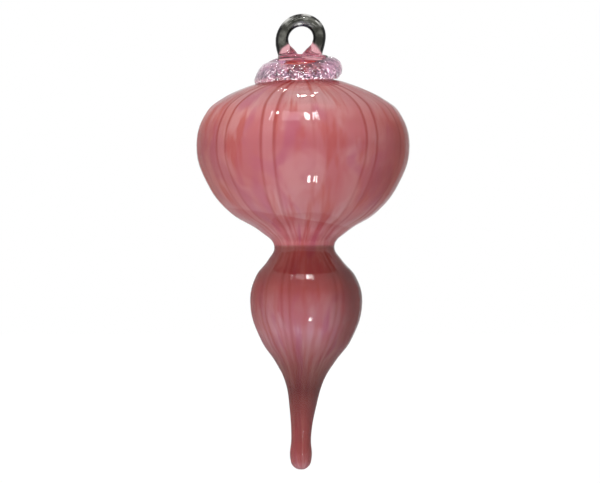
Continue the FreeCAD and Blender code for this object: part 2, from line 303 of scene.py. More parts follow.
# %% Push the small bulb and the tip off the axis
SMALL_BULB = RIM - OUTSIDE["small bulb"][1] * MM
BULB_HELD = 10 * MM
BULB_PUSH = 1.25 * MM
BULB_REACH = 42 * MM
TIP_HELD = RIM - OUTSIDE["tip side"][1] * MM + 4 * MM
TIP_PUSH = -0.8 * MM
TIP_REACH = 26 * MM
nudge(blown_body, lambda place: 0 < SMALL_BULB - place.z < BULB_HELD, (BULB_PUSH, 0, 0), BULB_REACH)
nudge(blown_body, lambda place: place.z < TIP_HELD, (TIP_PUSH, 0, 0), TIP_REACH)

# %% The inner wall takes the second glass, the pink one
for polygon in blown_body.data.polygons:
    polygon.material_index = 1 if all(number in inside for number in polygon.vertices) else 0
print("the body has", len(blown_body.data.vertices), "vertices, of which", len(inside), "on the inner wall")

# %% [markdown]
# ## The overlap of colour above the waist
# Through the foot of the large bulb one sees the flared neck of the small bulb, a deeper pink cup with a
# slanted edge. It is a thin ring of glass just inside the wall: its outline goes up one side and comes
# down the other, and its top is tilted a little, as on the real piece.

# %% The flared cup inside the foot of the large bulb
# Again as radius and drop below the rim in millimetres.
CUP = ((10.0, 71.9), (10.6, 70.4), (11.9, 66.4), (13.2, 62.6), (13.1, 61.9), (12.7, 62.6), (11.3, 66.4),
       (10.0, 70.4), (9.4, 71.9))
CUP_TURN_STEPS = 120
CUP_TILT = math.radians(5)
CUP_TILTED_PART = RIM - 66 * MM
CUP_TILT_MIDDLE = (0, 0, RIM - 64 * MM)
inner_neck = draw_outline("inner_neck_glass", CUP)
spin_round(inner_neck, CUP_TURN_STEPS)
finish_mesh(inner_neck)
pick(inner_neck, lambda place: place.z > CUP_TILTED_PART)
bpy.ops.transform.rotate(value=CUP_TILT, orient_axis="Y", center_override=CUP_TILT_MIDDLE)
bpy.ops.object.mode_set(mode="OBJECT")

# %% [markdown]
# ## The hanging loop
# A rod of glass is laid on the button while hot and bent round into an eye; its grey is painted shade. Half
# of it is modelled: a circle is spun a quarter turn round the eye, then extruded and scaled down the leg,
# where the glass thickens and leans in. A mirror makes the other half. Button, rod and the plug in the
# mouth are joined and remeshed into one skin, because on the real piece they have melted together.

# %% Half of the rod, then its mirror
EYE_MIDDLE = -4.8 * MM
ROD = 2.52 * MM
ROD_SIDES = 32
BEND = 7.32 * MM
BEND_STEPS = 9
# Each ring down the leg: how far out, how high, its radius, all in millimetres, and its lean in degrees.
LEG_RINGS = ((7.05, -6.9, 2.6, 9), (6.4, -8.6, 2.85, 22), (5.4, -10.4, 3.4, 30), (4.6, -12.2, 4.2, 20))

bpy.ops.object.select_all(action="DESELECT")
bpy.ops.mesh.primitive_circle_add(
    vertices=ROD_SIDES, radius=ROD, location=(0, 0, EYE_MIDDLE + BEND), rotation=(0, math.pi / 2, 0))
hanging_loop = bpy.context.object
hanging_loop.name = "hanging_loop_glass"
bpy.ops.object.transform_apply(location=True, rotation=True, scale=True)
pick(hanging_loop, lambda place: True)
bpy.ops.mesh.spin(steps=BEND_STEPS, angle=-math.pi / 2, center=(0, 0, EYE_MIDDLE), axis=(0, 1, 0))
out, height, radius, lean = BEND, EYE_MIDDLE, ROD, 0.0
for next_out, next_height, next_radius, next_lean in LEG_RINGS:
    next_out, next_height, next_radius = next_out * MM, next_height * MM, next_radius * MM
    move = (next_out - out, 0, next_height - height)
    bpy.ops.mesh.extrude_region_move(TRANSFORM_OT_translate={"value": move})
    middle = (next_out, 0, next_height)
    bpy.ops.transform.resize(value=(next_radius / radius,) * 3, center_override=middle)
    bpy.ops.transform.rotate(value=math.radians(lean - next_lean), orient_axis="Y", center_override=middle)
    out, height, radius, lean = next_out, next_height, next_radius, next_lean
bpy.ops.mesh.edge_face_add()
bpy.ops.object.mode_set(mode="OBJECT")
add_modifier(hanging_loop, "MIRROR", use_clip=True, merge_threshold=0.05 * MM)
finish_mesh(hanging_loop)

# %% Push the feet of the rod a little to the left
EYE_SHIFT = -0.3 * MM
FEET_HELD = -9 * MM
FEET_PUSH = -0.9 * MM
FEET_REACH = 13 * MM
pick(hanging_loop, lambda place: True)
bpy.ops.transform.translate(value=(EYE_SHIFT, 0, 0))
nudge(hanging_loop, lambda place: place.z < FEET_HELD, (FEET_PUSH, 0, 0), FEET_REACH)

# %% Melt it to its button and plug
BUTTON = 9.95 * MM
BUTTON_HEIGHT = 2.2 * MM
BUTTON_MIDDLE = RIM + 1.15 * MM
BUTTON_ROUNDING = 0.9 * MM
PLUG = 6.5 * MM
PLUG_HEIGHT = 2.4 * MM
PLUG_MIDDLE = RIM - 0.8 * MM
MELT_GRAIN = 0.28 * MM
button = new_cylinder("button", BUTTON, BUTTON_HEIGHT, BUTTON_MIDDLE)
add_modifier(button, "BEVEL", width=BUTTON_ROUNDING, segments=4)
plug = new_cylinder("plug", PLUG, PLUG_HEIGHT, PLUG_MIDDLE)
alone(hanging_loop)
button.select_set(True)
plug.select_set(True)
bpy.ops.object.join()
add_modifier(hanging_loop, "REMESH", mode="VOXEL", voxel_size=MELT_GRAIN)
add_modifier(hanging_loop, "SMOOTH", factor=0.6, iterations=8)
finish_mesh(hanging_loop)

# %% [markdown]
# ## The neck collar
# A gather of clear glass with grooves pressed into it is twisted and wound round the neck's root. It is
# built the same way: a straight grooved rod, one Simple Deform that twists it and one that bends it into a
# ring, so the grooves run slantwise round it. It lies tilted and off centre, and while soft it sags at its
# left side and in front. Then what it was pressed on, the neck and the cone of the shoulder, is cut out.

# %% A straight grooved rod
GROOVES = 12
ROPE = 4.9 * MM
GROOVE_DEPTH = 0.92
ROPE_STEPS = 128
RING = 12.3 * MM
GROOVES_PASSED = 28
ROPE_STEP = math.tau * RING / ROPE_STEPS
start = (-math.pi * RING, 0, 0)
bpy.ops.object.select_all(action="DESELECT")
bpy.ops.mesh.primitive_circle_add(
    vertices=2 * GROOVES, radius=ROPE, location=start, rotation=(0, math.pi / 2, 0))
neck_collar = bpy.context.object
neck_collar.name = "neck_collar_glass"
bpy.ops.object.transform_apply(location=True, rotation=True, scale=True)
pitch = math.pi / GROOVES
pick(neck_collar, lambda place: round(math.atan2(place.z, place.y) / pitch) % 2 == 1)
bpy.ops.transform.resize(value=(GROOVE_DEPTH,) * 3, center_override=start)
bpy.ops.mesh.select_all(action="SELECT")
for _ in range(ROPE_STEPS):
    bpy.ops.mesh.extrude_region_move(TRANSFORM_OT_translate={"value": (ROPE_STEP, 0, 0)})
bpy.ops.object.mode_set(mode="OBJECT")

# %% Twist it, bend it into a ring and lay it round the neck
SIDE_TILT = math.radians(3.0)
FRONT_TILT = math.radians(6.0)
RING_SHIFT = 1.6 * MM
RING_DROP = 3.7 * MM
add_modifier(
    neck_collar, "SIMPLE_DEFORM", deform_method="TWIST", deform_axis="X",
    angle=math.tau * GROOVES_PASSED / GROOVES)
add_modifier(neck_collar, "SIMPLE_DEFORM", deform_method="BEND", deform_axis="Z", angle=math.tau)
finish_mesh(neck_collar, 0.1 * MM)
middle = sum((Vector(corner) for corner in neck_collar.bound_box), Vector()) / 8
pick(neck_collar, lambda place: True)
bpy.ops.transform.translate(value=(-middle.x, -middle.y, 0))
bpy.ops.transform.rotate(value=SIDE_TILT, orient_axis="Y", center_override=(0, 0, 0))
bpy.ops.transform.rotate(value=-FRONT_TILT, orient_axis="X", center_override=(0, 0, 0))
bpy.ops.transform.translate(value=(-RING_SHIFT, 0, RIM - RING_DROP))
bpy.ops.object.mode_set(mode="OBJECT")
add_modifier(neck_collar, "SUBSURF", levels=1, render_levels=1)

# %% Let it sag while it is soft
UPPER_SIDE = RIM - 3 * MM
LOWER_SIDE = RIM - 6 * MM
nudge(neck_collar, lambda place: place.x < -15.5 * MM and place.z > UPPER_SIDE,
      (1.0 * MM, 0, -1.0 * MM), 6 * MM)
nudge(neck_collar, lambda place: place.x < -14 * MM and place.z < LOWER_SIDE,
      (-1.2 * MM, 0, -1.6 * MM), 5 * MM)
nudge(neck_collar, lambda place: place.y < -13 * MM and place.z > UPPER_SIDE,
      (0, 0, -1.6 * MM), 9 * MM)

# %% Cut out what it was pressed on
SEAT_HEIGHT = 14 * MM
CONE_FOOT = 22.9 * MM
CONE_TOP = 9.9 * MM
CONE_HEIGHT = 4.9 * MM
CONE_MIDDLE = RIM - 8.1 * MM
seat = new_cylinder("seat", BUTTON, SEAT_HEIGHT, RIM)
bpy.ops.object.select_all(action="DESELECT")
bpy.ops.mesh.primitive_cone_add(
    vertices=CIRCLE_STEPS, radius1=CONE_FOOT, radius2=CONE_TOP, depth=CONE_HEIGHT,
    location=(0, 0, CONE_MIDDLE))
cone = bpy.context.object
bpy.ops.object.transform_apply(location=True, rotation=True, scale=True)
for tool in (seat, cone):
    add_modifier(neck_collar, "BOOLEAN", operation="DIFFERENCE", object=tool, solver="EXACT")
    alone(tool)
    bpy.ops.object.delete()
finish_mesh(neck_collar, 0.02 * MM)


# %% [markdown]
# ## Helpers for the glass
# A colour is written as it shows on a screen, and paint turns it into the linear colour that a shader
# wants. Factors and the tints of clear glass only multiply light, so they are written as plain shares. The
# other helpers add a node with its inputs in one line, so that a material reads from top to bottom like a
# recipe. A mask is a value from 0 to 1 that says how much of a colour is laid on, and ease makes one from a
# place, an angle or a noise. The values for ease are kept as four numbers in one name: from where to where
# the change goes, and what it gives at its start and at its end. A colour also has four, the last one 1.

# %% Colour and node helpers
def paint(red, green, blue):
    """A colour as it shows on a screen, each part 0 to 255, as linear light."""
    shares = [part / 255 for part in (red, green, blue)]
    linear = [share / 12.92 if share <= 0.04045 else ((share + 0.055) / 1.055) ** 2.4 for share in shares]
    return (*linear, 1)


def new_material(name):
    """A material and its node tree."""
    material = bpy.data.materials.new(name)
    material.use_nodes = True
    return material, material.node_tree


def fill_inputs(node, inputs):
    """Link each input that is given a socket and set each one that is given a value."""
    for name, value in inputs.items():
        if isinstance(value, bpy.types.NodeSocket):
            node.id_data.links.new(value, node.inputs[name])
        else:
            node.inputs[name].default_value = value


def add(tree, kind, inputs, **settings):
    """Add one node, set its options, then its inputs."""
    made = tree.nodes.new(kind)
    for name, value in settings.items():
        setattr(made, name, value)
    fill_inputs(made, inputs)
    return made


def wearing(piece, *materials):
    """Put these materials on a piece, in their order."""
    for material in materials:
        piece.data.materials.append(material)


# %% Sums on values and sockets
def maths(tree, operation, first, second=0.0):
    """One sum of any kind."""
    return add(tree, "ShaderNodeMath", {0: first, 1: second}, operation=operation).outputs[0]


def plus(tree, first, second):
    return maths(tree, "ADD", first, second)


def minus(tree, first, second):
    return maths(tree, "SUBTRACT", first, second)


def times(tree, first, *others):
    """The product of all that is given."""
    for other in others:
        first = maths(tree, "MULTIPLY", first, other)
    return first


def distance_of(tree, first, second):
    """The straight distance to a point from how far it lies in two square directions."""
    return maths(tree, "SQRT", plus(tree, times(tree, first, first), times(tree, second, second)))


# %% Places, masks and colours
def place_on_piece(tree):
    """The place on the piece, whole and taken apart into X, Y and Z."""
    place = add(tree, "ShaderNodeTexCoord", {}).outputs["Object"]
    return place, add(tree, "ShaderNodeSeparateXYZ", {0: place}).outputs


def combine(tree, **sides):
    """X, Y and Z joined into one vector."""
    return add(tree, "ShaderNodeCombineXYZ", sides).outputs[0]


def noise(tree, spot, **inputs):
    """Soft noise, about 0.3 to 0.7, read at a spot."""
    return add(tree, "ShaderNodeTexNoise", {"Vector": spot, **inputs}).outputs["Fac"]


def edge_view(tree):
    """0 where the glass faces the viewer and 1 where it is seen edge on."""
    return add(tree, "ShaderNodeLayerWeight", {"Blend": 0.5}).outputs["Facing"]


def ease(tree, value, low, high, start=0.0, end=1.0):
    """A smooth change from start to end while the value goes from low to high."""
    inputs = {"Value": value, "From Min": low, "From Max": high, "To Min": start, "To Max": end}
    return add(tree, "ShaderNodeMapRange", inputs, interpolation_type="SMOOTHSTEP").outputs[0]


def blend(tree, share, first, second, kind="MIX"):
    """Mix two colours by a share, or multiply the first by the second as far as the share says."""
    made = add(tree, "ShaderNodeMix", {0: share, 6: first, 7: second}, data_type="RGBA", blend_type=kind)
    return made.outputs[2]


# %% [markdown]
# ## One pattern for the blown glass
# Colour in blown glass is drawn out with the bubble: it runs in streaks from neck to tail, wide where the
# bubble is wide and thin where it is thin. Noise that is read by the direction round the axis does just
# that. The group gives three masks, cloud, streak and warmth, and a ripple for the surface. It is made
# once and used by the skin, the pink layer and the cup.

# %% The streak group
streaks = bpy.data.node_groups.new("blown_streaks", "ShaderNodeTree")
for name, kind in (("Cloud", "Float"), ("Streak", "Float"), ("Warmth", "Float"), ("Ripple", "Vector")):
    streaks.interface.new_socket(name=name, in_out="OUTPUT", socket_type=f"NodeSocket{kind}")
_, bubble_place = place_on_piece(streaks)
level = combine(streaks, X=bubble_place["X"], Y=bubble_place["Y"])
around = add(streaks, "ShaderNodeVectorMath", {0: level}, operation="NORMALIZE").outputs[0]


def drawn_noise(stretch, shift, **inputs):
    """Noise read by the direction round the axis. The stretch says how fast it changes along the axis."""
    along = combine(streaks, Z=times(streaks, bubble_place["Z"], stretch))
    spot = add(streaks, "ShaderNodeVectorMath", {0: around, 1: along}, operation="ADD").outputs[0]
    moved = add(streaks, "ShaderNodeVectorMath", {0: spot, 1: shift}, operation="ADD").outputs[0]
    return noise(streaks, moved, **inputs)


cloud = drawn_noise(26.0, (0.0, 0.0, 0.0), Scale=2.2, Detail=3.0, Roughness=0.5, Distortion=0.5)
streak = drawn_noise(7.0, (4.2, 0.3, 1.1), Scale=5.5, Detail=3.0, Roughness=0.6, Distortion=0.25)
warmth = drawn_noise(18.0, (3.1, 1.7, 0.4), Scale=3.0, Detail=2.0, Roughness=0.5, Distortion=0.7)
waves = drawn_noise(60.0, (7.7, 2.9, 5.3), Scale=5.0, Detail=2.0, Roughness=0.4, Distortion=0.2)
ripple = add(streaks, "ShaderNodeBump", {"Strength": 0.2, "Distance": 0.2 * MM, "Height": waves})
add(streaks, "NodeGroupOutput", {
    "Cloud": cloud, "Streak": streak, "Warmth": warmth, "Ripple": ripple.outputs["Normal"]})


def add_streaks(tree):
    """The streak group's outputs inside a material."""
    return add(tree, "ShaderNodeGroup", {}, node_tree=streaks).outputs


# %% [markdown]
# ## The clear skin
# Plain clear glass. Near the outline, where one looks along it, Layer Weight lays a dark tint on it: partly
# the longer way that light has through the glass there, and partly painted shade that draws the thin dark
# line round the piece. The skin bends light less than real glass does, so that the pink under it reaches
# the outline, and a polished coat gives back the shine where the skin faces the viewer.

# %% Clear skin
SKIN = (0.98, 0.95, 0.96, 1)
SKIN_EDGE_SHADE = paint(112, 74, 74)
SKIN_EDGE_SHADE_POWER = 7.0
POLISH = (0.10, 0.80, 0.55, 0.0)
skin, tree = new_material("clear_skin")
facing = edge_view(tree)
# Painted shade: a dark tint laid on towards the outline, where the skin is seen edge on.
tint_and_edge_shade = blend(tree, maths(tree, "POWER", facing, SKIN_EDGE_SHADE_POWER), SKIN, SKIN_EDGE_SHADE)
fill_inputs(tree.nodes["Principled BSDF"], {
    "Base Color": tint_and_edge_shade, "Normal": add_streaks(tree)["Ripple"], "Coat Weight": ease(tree, facing, *POLISH),
    "Roughness": 0.01, "Coat Roughness": 0.0, "Transmission Weight": 1.0, "IOR": 1.08})

# %% [markdown]
# ## The milky pink layer
# It has no shine of its own, because the skin over it has that. Its ground colour changes down the piece:
# salmon at the neck, rose on the large bulb, dark wine under the waist, rose again on the small bulb, and
# dark down the tail to a rosy tip. The dark wine is partly the glass's own colour and partly painted shade,
# the large bulb's dark reflection in the top of the small one. Over that go pale clouds, red-brown streaks
# and violet patches, each as a factor on the ground colour, so they suit light and dark parts alike, and
# painted shade on the right of the small bulb. Then come the ribs in painted light and shade: a painted
# highlight band between two thin lines of painted shade, strong above the widest ring and faint under it.
# Last, painted shade deepens the colour towards the outline, more at the right.

# %% Ground colour by the drop below the rim
GROUND = (
    (0.0, (236, 122, 110)),
    (8.0, (212, 116, 114)),
    (14.0, (190, 117, 120)),
    (22.0, (192, 111, 114)),
    (33.0, (175, 95, 101)),
    (48.0, (182, 101, 106)),
    (60.0, (196, 123, 129)),
    (67.0, (212, 140, 149)),
    (71.8, (192, 112, 118)),
    # The dark wine from 72.3 to 89 mm is partly the glass's own colour and partly painted shade: the large
    # bulb's dark reflection in the small bulb's top.
    (72.3, (133, 60, 58)),
    (82.0, (132, 55, 54)),
    (89.0, (145, 62, 62)),
    (105.0, (174, 106, 118)),
    (112.0, (158, 88, 94)),
    (119.0, (131, 69, 68)),
    (128.0, (102, 40, 39)),
    (140.0, (133, 58, 57)),
    (151.0, (146, 65, 64)),
    (156.0, (162, 86, 88)),
    (159.0, (196, 132, 142)),
)
# The pale clouds, and also the painted highlight on the ribs.
PALE_CLOUD_AND_RIB_HIGHLIGHT = (1.12, 1.65, 1.55, 1)
BROWN = (0.95, 0.66, 0.54, 1)
VIOLET = (0.90, 0.76, 1.04, 1)
RIB_SHADE_LINE_COLOUR = (0.70, 0.36, 0.27, 1)
EDGE_SHADE_LEFT = (0.89, 0.74, 0.64, 1)
EDGE_SHADE_RIGHT = (0.77, 0.32, 0.25, 1)
SMALL_BULB_RIGHT_SHADE = (0.60, 0.50, 0.46, 1)
OVERLAP = (0.90, 0.68, 0.70, 1)
EVEN = (1.0, 1.0, 1.0, 1)

pink, tree = new_material("milky_pink")
_, apart = place_on_piece(tree)
share = add(tree, "ShaderNodeMapRange", {"Value": apart["Z"], "From Min": TIP, "From Max": RIM})
ramp = add(tree, "ShaderNodeValToRGB", {"Fac": share.outputs[0]})
stops = ramp.color_ramp.elements
while len(stops) < len(GROUND):
    stops.new(0.5)
for stop, (drop, colour) in zip(stops, reversed(GROUND)):
    stop.position = 1 - drop * MM / (RIM - TIP)
    stop.color = paint(*colour)
print("the ground colour has", len(stops), "stops")

# %% Clouds, streaks and patches as factors
CLOUDS = (0.42, 0.62, 0.0, 0.9)
STREAKS = (0.50, 0.66, 0.0, 1.0)
PATCHES = (0.50, 0.68, 0.0, 0.75)
BELOW_WAIST = (RIM - 84 * MM, RIM - 76 * MM, 1.0, 0.0)
STREAKS_BELOW = (0.0, 1.0, 0.85, 0.5)
SHADE_TOWARDS_RIGHT = (6 * MM, 20 * MM, 0.0, 1.0)
masks = add_streaks(tree)
factor = blend(tree, ease(tree, masks["Cloud"], *CLOUDS), EVEN, PALE_CLOUD_AND_RIB_HIGHLIGHT)
below = ease(tree, apart["Z"], *BELOW_WAIST)
streaked = times(tree, ease(tree, masks["Streak"], *STREAKS), ease(tree, below, *STREAKS_BELOW))
factor = blend(tree, streaked, factor, BROWN)
factor = blend(tree, ease(tree, masks["Warmth"], *PATCHES), factor, VIOLET)
# Painted shade: the small bulb is darker towards its right.
right_shade = times(tree, below, ease(tree, apart["X"], *SHADE_TOWARDS_RIGHT))
factor = blend(tree, right_shade, factor, SMALL_BULB_RIGHT_SHADE, "MULTIPLY")

# %% The slanted edge where the colour of the small bulb's neck lies over that of the large one
LAP_SLANT = 0.165
LAP_TOP = (RIM - 61.8 * MM, RIM - 61.3 * MM, 1.0, 0.0)
LAP_FOOT = (RIM - 72.3 * MM, RIM - 71.8 * MM, 0.0, 1.0)
slanted = plus(tree, apart["Z"], times(tree, apart["X"], LAP_SLANT))
lapped = times(tree, ease(tree, slanted, *LAP_TOP), ease(tree, apart["Z"], *LAP_FOOT))
factor = blend(tree, lapped, factor, OVERLAP, "MULTIPLY")

# %% How far each spot lies from the edge of the nearest rib, as in from_rib
turn = maths(tree, "ARCTAN2", apart["Y"], apart["X"])
wide = distance_of(tree, apart["X"], apart["Y"])
pitch = math.tau / RIB_COUNT
steps = maths(tree, "DIVIDE", minus(tree, turn, RIB_TURN), pitch)
number = maths(tree, "ROUND", steps)
phase = plus(tree, times(tree, apart["Z"], SWAY_PER_METRE), times(tree, number, SWAY_PER_RIB))
sway = times(tree, maths(tree, "SINE", phase), RIB_SWAY)
off = times(tree, minus(tree, steps, number), pitch, wide)
aside = maths(tree, "ABSOLUTE", plus(tree, off, sway))
narrow = maths(tree, "MINIMUM", maths(tree, "DIVIDE", wide, FULL_RADIUS), 1.0)
beyond = minus(tree, aside, times(tree, narrow, RIB_HALF_WIDTH))

# %% The ribs' painted highlight bands and painted shade lines
RIB_HIGHLIGHT_BAND = (-0.9 * MM, 0.0, 1.0, 0.0)
RIB_SHADE_LINES = (0.1 * MM, 1.1 * MM, 1.0, 0.0)
RIB_FAINTER_BELOW = (RIM - 50 * MM, RIM - 20 * MM, 0.4, 1.0)
RIB_FAINTER_PATCHES = (0.38, 0.6, 0.8, 1.0)
RIB_HIGHLIGHT_SHARE = 0.6
RIB_SHADE_SHARE = 0.9
# Every rib has a strength of its own, taken from a wave by the number of the rib.
OWN_START, OWN_STEP = 3.0, 2.2
OWN_STRENGTH = (-0.6, 1.0, 1.0, 0.15)
# Painted light and shade on the ribs: a pale highlight band between two dark lines of painted shade,
# fainter downwards and in patches.
fill = ease(tree, beyond, *RIB_HIGHLIGHT_BAND)
line = ease(tree, maths(tree, "ABSOLUTE", beyond), *RIB_SHADE_LINES)
own = maths(tree, "COSINE", times(tree, plus(tree, number, OWN_START), OWN_STEP))
own = ease(tree, own, *OWN_STRENGTH)
patchy = ease(tree, masks["Warmth"], *RIB_FAINTER_PATCHES)
strong = times(tree, ease(tree, apart["Z"], *RIB_FAINTER_BELOW), own, patchy)
factor = blend(tree, times(tree, fill, strong, RIB_HIGHLIGHT_SHARE), factor, PALE_CLOUD_AND_RIB_HIGHLIGHT)
factor = blend(tree, times(tree, line, strong, RIB_SHADE_SHARE), factor, RIB_SHADE_LINE_COLOUR)
colour = blend(tree, 1.0, ramp.outputs["Color"], factor, "MULTIPLY")

# %% Painted shade: deeper colour towards the outline, where the glass is wide, less on the shoulder, more at the right
LARGE_GIRTH = (27 * MM, 38 * MM, 0.3, 1.0)
SMALL_GIRTH = (13 * MM, 19 * MM, 0.0, 1.0)
SHOULDER = (RIM - 26 * MM, RIM - 17 * MM, 1.0, 0.15)
EDGE_SHADE_SPAN = (0.08, 0.55, 0.0, 1.0)
EDGE_SHADE_LEFT_TO_RIGHT = (-10 * MM, 30 * MM, 0.0, 1.0)
small = times(tree, below, ease(tree, wide, *SMALL_GIRTH))
girth = maths(tree, "MAXIMUM", ease(tree, wide, *LARGE_GIRTH), small)
girth = times(tree, girth, ease(tree, apart["Z"], *SHOULDER))
# Painted shade towards the outline, stronger at the right, away from the soft lamp.
edge_shade = times(tree, girth, ease(tree, edge_view(tree), *EDGE_SHADE_SPAN))
edge_shade_colour = blend(tree, ease(tree, apart["X"], *EDGE_SHADE_LEFT_TO_RIGHT), EDGE_SHADE_LEFT, EDGE_SHADE_RIGHT)
colour = blend(tree, edge_shade, colour, edge_shade_colour, "MULTIPLY")
fill_inputs(tree.nodes["Principled BSDF"], {
    "Base Color": colour, "Roughness": 0.35, "Specular IOR Level": 0.0,
    "Transmission Weight": 0.04, "IOR": 1.35})

# %% [markdown]
# ## Cup, loop and lilac
# The cup above the waist is the same pink, only deeper. The rod of the loop is clear glass, painted pink
# where it stands on the button, a painted reflection of the body, and painted grey higher up, lower on its
# outer side, with wisps where the two meet: painted shade for the dark surroundings that clear glass shows.
# Its edges are painted almost black, more painted shade. At the top of the eye the streaks along the rod
# and its outermost rim are painted pale, a painted highlight from above, its innermost rim has a breath of
# violet, and just above the eye a clear bar lets the white room through, a painted reflection.
# The collar is clear with a breath of lilac. Pale and deep strands follow its twist, its foot is painted
# with the pink that it stands on, a painted reflection, and its lower half holds small dark flecks of
# painted shade, and glowing painted glints in front.

# %% The cup's deeper pink
CUP_PINK = paint(255, 130, 140)
CUP_STREAK = paint(235, 96, 104)
CUP_STREAKS = (0.42, 0.62, 0.0, 1.0)
deep, tree = new_material("deep_pink")
colour = blend(tree, ease(tree, add_streaks(tree)["Streak"], *CUP_STREAKS), CUP_PINK, CUP_STREAK)
fill_inputs(tree.nodes["Principled BSDF"], {
    "Base Color": colour, "Roughness": 0.3, "Transmission Weight": 0.2})

# %% Loop glass: pink feet, a painted reflection, up into grey, painted shade
PINK_LEG_REFLECTION = (0.76, 0.39, 0.43, 1)
LOOP_GREY_SHADE = (0.030, 0.030, 0.024, 1)
LOOP_GREY_VIOLET = (0.030, 0.026, 0.060, 1)
LOOP_GREY_PALE = (0.16, 0.16, 0.14, 1)
LOOP_TOP_HIGHLIGHT = (0.80, 0.79, 0.75, 1)
LOOP_EDGE_SHADE = (0.0, 0.0, 0.0, 1)
CLEAR = (1.0, 1.0, 1.0, 1)
RISE = (-1.6 * MM, 0.4 * MM, 0.0, 1.0)
OUTER_SIDE = 1.2
WAVY = 5 * MM
LEGS_MIDDLE = -0.8 * MM
smoke, tree = new_material("loop_glass_painted_grey")
place, apart = place_on_piece(tree)
wisp = noise(tree, place, Scale=300.0, Detail=2.0)
outer = times(tree, maths(tree, "ABSOLUTE", minus(tree, apart["X"], LEGS_MIDDLE)), OUTER_SIDE)
level = plus(tree, plus(tree, apart["Z"], outer), times(tree, minus(tree, wisp, 0.5), WAVY))
rise = ease(tree, level, *RISE)

# %% The rod was drawn out, so its streaks run along it, round the middle of the eye
STREAK_LENGTH = 1.4 * MM
WISPS = (0.42, 0.68, 0.0, 1.0)
ROD_EDGE_SHADE = (0.05, 0.26, 0.0, 1.0)
LIT_ROD_TOP = (-1 * MM, 2.4 * MM, 0.0, 1.0)
ROD_STREAKS = (0.53, 0.60, 0.0, 0.9)
OUTERMOST_HIGHLIGHT = (8.7 * MM, 9.4 * MM, 0.0, 0.7)
INNERMOST = (6.0 * MM, 7.2 * MM, 0.8, 0.0)
up = minus(tree, apart["Z"], EYE_MIDDLE)
far = distance_of(tree, apart["X"], up)
turn = maths(tree, "ARCTAN2", up, apart["X"])
along = combine(tree, X=far, Y=apart["Y"], Z=times(tree, turn, STREAK_LENGTH))
drawn = noise(tree, along, Scale=800.0, Detail=2.0)
high = ease(tree, apart["Z"], *LIT_ROD_TOP)
# Painted shade: the clear rod is painted grey for the dark surroundings that clear glass shows, with paler
# wisps.
grey = blend(tree, ease(tree, wisp, *WISPS), LOOP_GREY_SHADE, LOOP_GREY_PALE)
# Painted shade: the rod's edges go almost black where it is seen edge on.
grey = blend(tree, ease(tree, edge_view(tree), *ROD_EDGE_SHADE), grey, LOOP_EDGE_SHADE)
# Painted highlight: pale streaks and a pale outermost rim at the top of the eye, where light falls from
# above.
grey = blend(tree, times(tree, high, ease(tree, drawn, *ROD_STREAKS)), grey, LOOP_TOP_HIGHLIGHT)
grey = blend(tree, times(tree, high, ease(tree, far, *OUTERMOST_HIGHLIGHT)), grey, LOOP_TOP_HIGHLIGHT)
grey = blend(tree, times(tree, high, ease(tree, far, *INNERMOST)), grey, LOOP_GREY_VIOLET)

# %% A painted reflection in the rod just above the eye: a clear bar where the white room shows through
WHITE_BAR_X, WHITE_BAR_Z = -1.1 * MM, 0.75 * MM
WHITE_BAR_HALF_WIDTH, WHITE_BAR_HALF_HEIGHT = 1.0 * MM, 0.5 * MM
WHITE_BAR_EDGE = (0.7, 1.3, 1.0, 0.0)
aside = maths(tree, "DIVIDE", minus(tree, apart["X"], WHITE_BAR_X), WHITE_BAR_HALF_WIDTH)
above = maths(tree, "DIVIDE", minus(tree, apart["Z"], WHITE_BAR_Z), WHITE_BAR_HALF_HEIGHT)
white_bar = plus(tree, times(tree, aside, aside), times(tree, above, above))
# Painted reflection: the clear bar lets the white room through, bright above the eye.
grey = blend(tree, ease(tree, white_bar, *WHITE_BAR_EDGE), grey, CLEAR)
# Painted reflection: the feet and the button are painted with the pink of the body below them.
fill_inputs(tree.nodes["Principled BSDF"], {
    "Base Color": blend(tree, rise, PINK_LEG_REFLECTION, grey), "Roughness": 0.02, "Transmission Weight": 1.0,
    "IOR": 1.25})

# %% Lilac glass: strands that follow the twist, and a foot painted with the pink below, a painted reflection
LILAC = (0.68, 0.31, 0.46, 1)
LILAC_PALE = (0.84, 0.52, 0.66, 1)
LILAC_DEEP = (0.30, 0.15, 0.27, 1)
LILAC_EDGE = paint(140, 96, 124)
FOOT_PINK_REFLECTION = (1.0, 0.46, 0.50, 1)
STRAND_STRETCH = 0.22
ROPE_EDGE = (0.35, 0.95, 0.0, 1.0)
PALE_STRANDS = (0.52, 0.60, 0.0, 0.9)
DEEP_STRANDS = (0.43, 0.49, 0.9, 0.0)
FOOT = (RIM - 8.0 * MM, RIM - 6.6 * MM, 1.0, 0.0)
lilac, tree = new_material("lilac_glass")
place, apart = place_on_piece(tree)
round_it = times(tree, maths(tree, "ARCTAN2", apart["Y"], apart["X"]), RING)
over = plus(tree, round_it, apart["Z"])
along = times(tree, minus(tree, round_it, apart["Z"]), STRAND_STRETCH)
strands = noise(tree, combine(tree, X=over, Y=along), Scale=560.0, Detail=2.0)
colour = blend(tree, ease(tree, edge_view(tree), *ROPE_EDGE), LILAC, LILAC_EDGE)
colour = blend(tree, ease(tree, strands, *PALE_STRANDS), colour, LILAC_PALE)
colour = blend(tree, ease(tree, strands, *DEEP_STRANDS), colour, LILAC_DEEP)
# Painted reflection: the foot takes the pink of the body below it.
colour = blend(tree, ease(tree, apart["Z"], *FOOT), colour, FOOT_PINK_REFLECTION)

